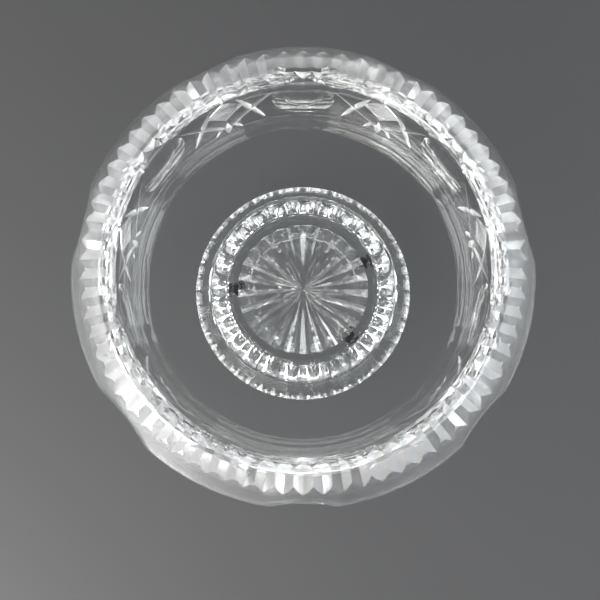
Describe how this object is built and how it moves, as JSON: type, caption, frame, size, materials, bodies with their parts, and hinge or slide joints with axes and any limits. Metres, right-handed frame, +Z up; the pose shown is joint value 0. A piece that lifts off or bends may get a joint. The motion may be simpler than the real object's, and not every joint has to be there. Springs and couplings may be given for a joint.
{
  "type": "punch bowl",
  "caption": "Cut crystal punch bowl with a turned-over scalloped rim, lifting off a low ring stand on rubber pads.",
  "frame": {"origin": "centre of the stand's foot, on the table", "axes": "+Z up along the bowl's axis of symmetry; -Y towards the front, where one scallop is centred; +X to the right"},
  "size_m": [0.356, 0.354, 0.177],
  "materials": {
    "bowl_crystal": "polished clear crystal",
    "stand_crystal": "polished clear crystal",
    "pad_rubber": "glossy black"
  },
  "bodies": {
    "stand": {"stand": "stand_crystal", "pad_left": "pad_rubber", "pad_rear_right": "pad_rubber", "pad_front_right": "pad_rubber"},
    "bowl": {"bowl": "bowl_crystal"}
  },
  "joints": [
    {"name": "bowl_lift", "type": "slide", "parent": "stand", "child": "bowl", "axis": [0, 0, 1], "range_m": [0, 0.15]}
  ]
}
